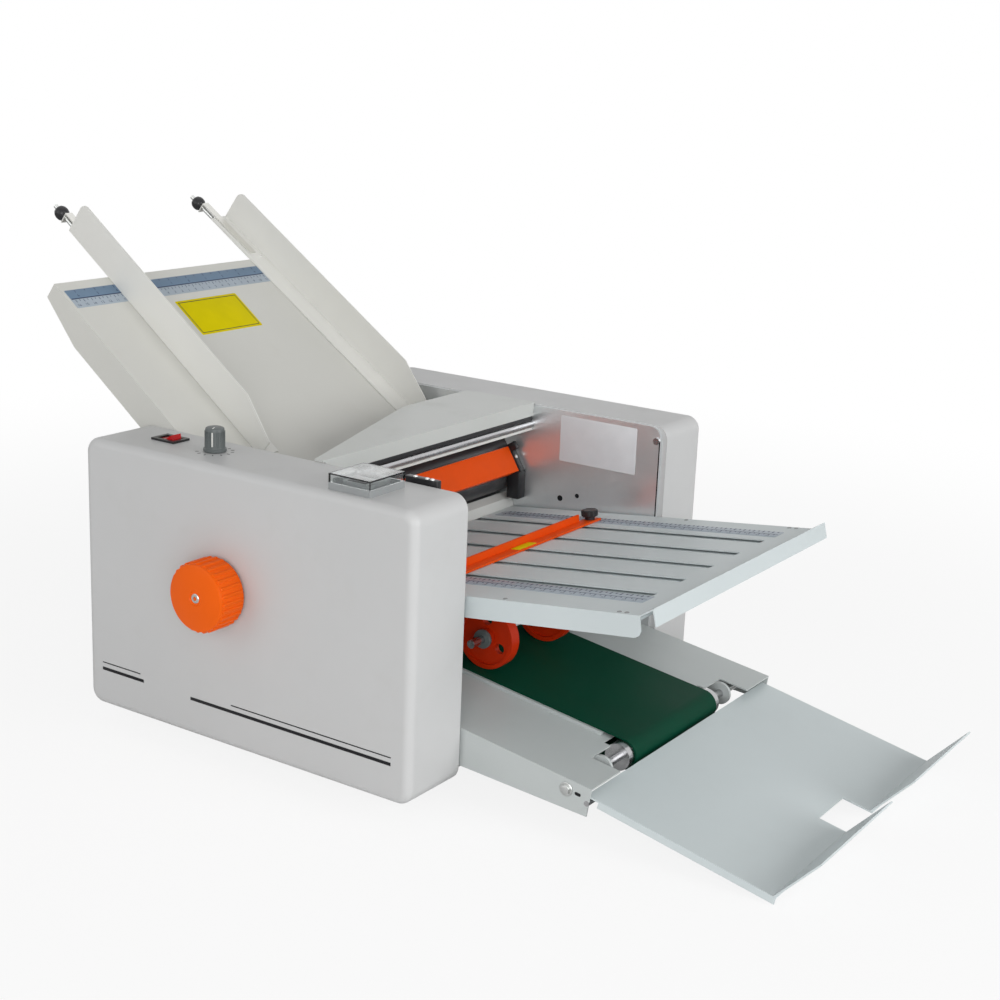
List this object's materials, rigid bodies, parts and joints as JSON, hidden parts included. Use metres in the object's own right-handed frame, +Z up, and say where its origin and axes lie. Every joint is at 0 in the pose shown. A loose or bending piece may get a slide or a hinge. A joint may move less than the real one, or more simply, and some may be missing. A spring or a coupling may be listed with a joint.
{
  "type": "paper folding machine",
  "caption": "Desktop machine that folds sheets of paper: steep feed tray with side guides, fold rollers, slotted fold plates with stops, delivery belt and sloping tray.",
  "frame": {"origin": "on the table, under the middle of the two housings", "axes": "+X the way the paper travels, +Z up, -Y the operator's side with the hand knob"},
  "size_m": [0.93, 0.522, 0.466],
  "materials": {
    "cream_paint": "satin",
    "bright_steel": "brushed",
    "chrome_plate": "polished",
    "zinc_steel": "plain",
    "bronze": "plain",
    "foot_rubber": "matt",
    "roller_rubber": "ground",
    "green_belting": "satin",
    "orange_paint": "satin",
    "orange_plastic": "satin",
    "black_plastic": "matt",
    "grey_plastic": "matt",
    "red_plastic": "gloss",
    "white_plastic": "satin",
    "clear_plastic": "clear",
    "motor_paint": "satin",
    "belt_rubber": "matt"
  },
  "bodies": {
    "frame": {"near_housing": "cream_paint", "far_housing": "cream_paint", "near_side_plate": "bright_steel", "far_side_plate": "bright_steel", "roller_bearings": "bronze", "base_pan": "bright_steel", "tie_rods": "chrome_plate", "rubber_feet": "foot_rubber", "feed_tray": "cream_paint", "drive_belts": "belt_rubber", "drive_motor": "motor_paint", "separator_block": "roller_rubber", "guide_strip": "white_plastic", "roller_guard": "orange_paint", "guard_brackets": "black_plastic", "lower_guide_plate": "cream_paint", "rear_fold_plate": "cream_paint", "conveyor_frame": "cream_paint", "delivery_belt": "green_belting", "roller_brackets": "cream_paint", "tension_bolts": "zinc_steel", "switch_bezel": "black_plastic", "counter_base": "white_plastic", "power_inlet": "black_plastic", "frame_screws": "chrome_plate"},
    "main_shaft": {"main_roller": "roller_rubber", "main_gear": "zinc_steel", "main_pulley": "zinc_steel", "hand_knob": "orange_plastic"},
    "upper_shaft": {"upper_roller": "roller_rubber", "upper_gear": "zinc_steel"},
    "lower_shaft": {"lower_roller": "roller_rubber", "lower_gear": "zinc_steel"},
    "exit_shaft": {"exit_roller": "roller_rubber", "exit_gear": "zinc_steel"},
    "feed_shaft": {"feed_roller": "roller_rubber", "feed_pulley": "zinc_steel"},
    "motor_shaft": {"motor_pulley": "zinc_steel"},
    "belt_drive": {"belt_drive_roller": "bright_steel"},
    "belt_end": {"belt_end_roller": "bright_steel"},
    "wheel_arm": {"wheel_carrier": "bright_steel"},
    "near_press_wheel": {"near_wheel": "orange_plastic"},
    "far_press_wheel": {"far_wheel": "orange_plastic"},
    "near_side_guide": {"near_guide": "cream_paint"},
    "near_extension_bar": {"near_guide_bar": "bright_steel"},
    "near_clamp_knob": {"near_bar_knob": "black_plastic"},
    "far_side_guide": {"far_guide": "cream_paint"},
    "far_extension_bar": {"far_guide_bar": "bright_steel"},
    "far_clamp_knob": {"far_bar_knob": "black_plastic"},
    "front_plate": {"front_fold_plate": "cream_paint"},
    "front_stop": {"front_stop_bar": "orange_paint"},
    "near_stop_thumb_knob": {"near_stop_knob": "black_plastic"},
    "far_stop_thumb_knob": {"far_stop_knob": "black_plastic"},
    "rear_stop": {"rear_stop_bar": "orange_paint"},
    "cover": {"top_cover": "cream_paint"},
    "tray": {"delivery_tray": "cream_paint"},
    "lid": {"counter_lid": "clear_plastic"},
    "rocker": {"rocker_switch": "red_plastic"},
    "speed_dial": {"speed_knob": "grey_plastic"}
  },
  "joints": [
    {"name": "main_roller_spin", "type": "hinge", "parent": "frame", "child": "main_shaft", "pos_m": [-0.022, 0, 0.1675], "axis": [0, 1, 0], "continuous": true},
    {"name": "upper_roller_spin", "type": "hinge", "parent": "frame", "child": "upper_shaft", "pos_m": [-0.0058, 0, 0.19796], "axis": [0, 1, 0], "continuous": true},
    {"name": "lower_roller_spin", "type": "hinge", "parent": "frame", "child": "lower_shaft", "pos_m": [-0.00475, 0, 0.13762], "axis": [0, 1, 0], "continuous": true},
    {"name": "exit_roller_spin", "type": "hinge", "parent": "frame", "child": "exit_shaft", "pos_m": [-0.01368, 0, 0.1043], "axis": [0, 1, 0], "continuous": true},
    {"name": "feed_roller_spin", "type": "hinge", "parent": "frame", "child": "feed_shaft", "pos_m": [-0.08595, 0, 0.20484], "axis": [0, 1, 0], "continuous": true},
    {"name": "motor_spin", "type": "hinge", "parent": "frame", "child": "motor_shaft", "pos_m": [-0.14, 0, 0.15], "axis": [0, 1, 0], "continuous": true},
    {"name": "belt_drive_spin", "type": "hinge", "parent": "frame", "child": "belt_drive", "pos_m": [0.042, 0, 0.0801], "axis": [0, 1, 0], "continuous": true},
    {"name": "belt_end_spin", "type": "hinge", "parent": "frame", "child": "belt_end", "pos_m": [0.298, 0, 0.04353], "axis": [0, 1, 0], "continuous": true},
    {"name": "wheel_carrier_lift", "type": "hinge", "parent": "frame", "child": "wheel_arm", "pos_m": [0.11, 0, 0.148], "axis": [0, -1, 0], "range_deg": [0, 28]},
    {"name": "near_wheel_spin", "type": "hinge", "parent": "wheel_arm", "child": "near_press_wheel", "pos_m": [0.14, 0, 0.11125], "axis": [0, 1, 0], "continuous": true},
    {"name": "far_wheel_spin", "type": "hinge", "parent": "wheel_arm", "child": "far_press_wheel", "pos_m": [0.14, 0, 0.11125], "axis": [0, 1, 0], "continuous": true},
    {"name": "near_guide_slide", "type": "slide", "parent": "frame", "child": "near_side_guide", "axis": [0, 1, 0], "range_m": [-0.065, 0.06]},
    {"name": "far_guide_slide", "type": "slide", "parent": "frame", "child": "far_side_guide", "axis": [0, 1, 0], "range_m": [-0.1, 0.01]},
    {"name": "near_bar_slide", "type": "slide", "parent": "near_side_guide", "child": "near_extension_bar", "axis": [-0.8039, 0, 0.5948], "range_m": [0, 0.042]},
    {"name": "near_bar_knob_turn", "type": "hinge", "parent": "near_extension_bar", "child": "near_clamp_knob", "pos_m": [-0.38553, -0.0835, 0.44891], "axis": [-0.8039, 0, 0.5948], "range_deg": [0, 360]},
    {"name": "far_bar_slide", "type": "slide", "parent": "far_side_guide", "child": "far_extension_bar", "axis": [-0.8015, -0.0767, 0.5931], "range_m": [0, 0.042]},
    {"name": "far_bar_knob_turn", "type": "hinge", "parent": "far_extension_bar", "child": "far_clamp_knob", "pos_m": [-0.38379, 0.11486, 0.44763], "axis": [-0.8015, -0.0767, 0.5931], "range_deg": [0, 360]},
    {"name": "front_plate_slide", "type": "slide", "parent": "frame", "child": "front_plate", "axis": [0.9923, 0, 0.1236], "range_m": [0, 0.12]},
    {"name": "front_stop_slide", "type": "slide", "parent": "front_plate", "child": "front_stop", "axis": [0.9923, 0, 0.1236], "range_m": [-0.112, 0.19]},
    {"name": "near_stop_knob_turn", "type": "hinge", "parent": "front_stop", "child": "near_stop_thumb_knob", "pos_m": [0.13401, -0.124, 0.18533], "axis": [-0.1236, 0, 0.9923], "range_deg": [0, 360]},
    {"name": "far_stop_knob_turn", "type": "hinge", "parent": "front_stop", "child": "far_stop_thumb_knob", "pos_m": [0.13401, 0.124, 0.18533], "axis": [-0.1236, 0, 0.9923], "range_deg": [0, 360]},
    {"name": "rear_stop_slide", "type": "slide", "parent": "frame", "child": "rear_stop", "axis": [-0.866, 0, -0.5], "range_m": [-0.09, 0.04]},
    {"name": "top_cover_hinge", "type": "hinge", "parent": "frame", "child": "cover", "pos_m": [-0.048, 0, 0.2755], "axis": [0, -1, 0], "range_deg": [0, 80]},
    {"name": "delivery_tray_hinge", "type": "hinge", "parent": "frame", "child": "tray", "pos_m": [0.31804, 0, 0.03599], "axis": [0, -1, 0], "range_deg": [0, 40]},
    {"name": "counter_lid_hinge", "type": "hinge", "parent": "frame", "child": "lid", "pos_m": [0.0901, -0.2125, 0.28515], "axis": [0, -1, 0], "range_deg": [0, 100]},
    {"name": "power_switch_rock", "type": "hinge", "parent": "frame", "child": "rocker", "pos_m": [-0.124, -0.201, 0.278], "axis": [0, 1, 0], "range_deg": [0, 24]},
    {"name": "speed_knob_turn", "type": "hinge", "parent": "frame", "child": "speed_dial", "pos_m": [-0.065, -0.205, 0.279], "axis": [0, 0, 1], "range_deg": [0, 270]}
  ],
  "couplings": [
    {"joint": "upper_roller_spin", "follows": "main_roller_spin", "ratio": -1},
    {"joint": "lower_roller_spin", "follows": "main_roller_spin", "ratio": -1},
    {"joint": "exit_roller_spin", "follows": "main_roller_spin", "ratio": 1},
    {"joint": "feed_roller_spin", "follows": "main_roller_spin", "ratio": 1},
    {"joint": "motor_spin", "follows": "main_roller_spin", "ratio": 1.6},
    {"joint": "belt_drive_spin", "follows": "main_roller_spin", "ratio": 1.1429},
    {"joint": "belt_end_spin", "follows": "main_roller_spin", "ratio": 1.1429}
  ]
}
